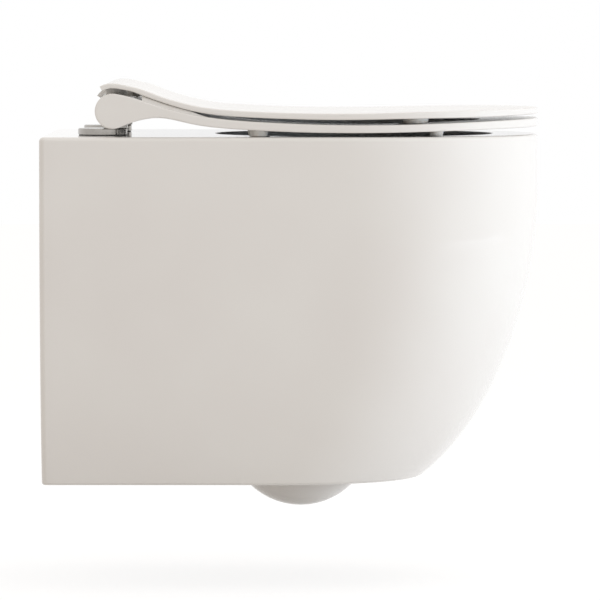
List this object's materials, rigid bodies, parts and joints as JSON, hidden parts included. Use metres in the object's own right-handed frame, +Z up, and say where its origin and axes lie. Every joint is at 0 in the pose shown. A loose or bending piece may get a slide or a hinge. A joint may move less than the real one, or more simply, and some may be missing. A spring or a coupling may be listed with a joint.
{
  "type": "wall hung toilet",
  "caption": "Rimless wall hung toilet pan with a slim curved seat and lid on lift-off, soft-close hinges.",
  "frame": {"origin": "on the wall plane, midway between the two wall studs", "axes": "+X leads out from the wall to the front of the pan, +Y is the left of someone seated, +Z is up"},
  "size_m": [0.5075, 0.36, 0.4387],
  "materials": {
    "vitreous_china": "white glaze, gloss",
    "seat_duroplast": "moulded urea resin, gloss white",
    "polished_chrome": "polished",
    "stainless_steel": "turned",
    "hinge_metal": "die cast, satin plated",
    "damper_plastic": "moulded",
    "catch_plastic": "moulded",
    "nylon": "natural nylon",
    "bumper_plastic": "milky, soft",
    "seal_rubber": "matt"
  },
  "bodies": {
    "pan": {"pan_shroud": "vitreous_china", "pan_bowl": "vitreous_china", "pan_trap": "vitreous_china", "flush_inlet_horn": "vitreous_china", "stud_bushes": "nylon", "stud_washers": "nylon", "base_gaskets": "seal_rubber", "hinge_base_disc_left": "polished_chrome", "hinge_base_disc_right": "polished_chrome", "hinge_posts": "polished_chrome", "hinge_screws": "stainless_steel", "expansion_sleeves": "seal_rubber", "cone_nuts": "stainless_steel"},
    "hinge_carrier": {"hinge_housing_left": "hinge_metal", "hinge_housing_right": "hinge_metal", "seat_damper": "damper_plastic", "lid_damper": "damper_plastic", "housing_end_caps": "hinge_metal"},
    "release_left": {"release_catch_left": "catch_plastic"},
    "release_right": {"release_catch_right": "catch_plastic"},
    "seat": {"seat_ring": "seat_duroplast", "rear_seat_bumpers": "bumper_plastic", "front_seat_bumpers": "bumper_plastic", "hinge_pins": "stainless_steel"},
    "lid": {"lid_cover": "seat_duroplast", "lid_bumpers": "bumper_plastic", "lid_bush": "nylon", "lid_damper_sleeve": "nylon"}
  },
  "joints": [
    {"name": "seat_lift_off", "type": "slide", "parent": "pan", "child": "hinge_carrier", "axis": [0, 0, 1], "range_m": [0, 0.06]},
    {"name": "seat_hinge", "type": "hinge", "parent": "hinge_carrier", "child": "seat", "pos_m": [0.0738, 0, 0.116], "axis": [0, 1, 0], "range_deg": [-95, 0]},
    {"name": "lid_hinge", "type": "hinge", "parent": "seat", "child": "lid", "pos_m": [0.0738, 0, 0.116], "axis": [0, -1, 0], "range_deg": [0, 97]},
    {"name": "release_button_left", "type": "slide", "parent": "hinge_carrier", "child": "release_left", "axis": [0, 1, 0], "range_m": [0, 0.003], "stiffness_N_per_m": 600, "springref_m": -0.003},
    {"name": "release_button_right", "type": "slide", "parent": "hinge_carrier", "child": "release_right", "axis": [0, -1, 0], "range_m": [0, 0.003], "stiffness_N_per_m": 600, "springref_m": -0.003}
  ]
}
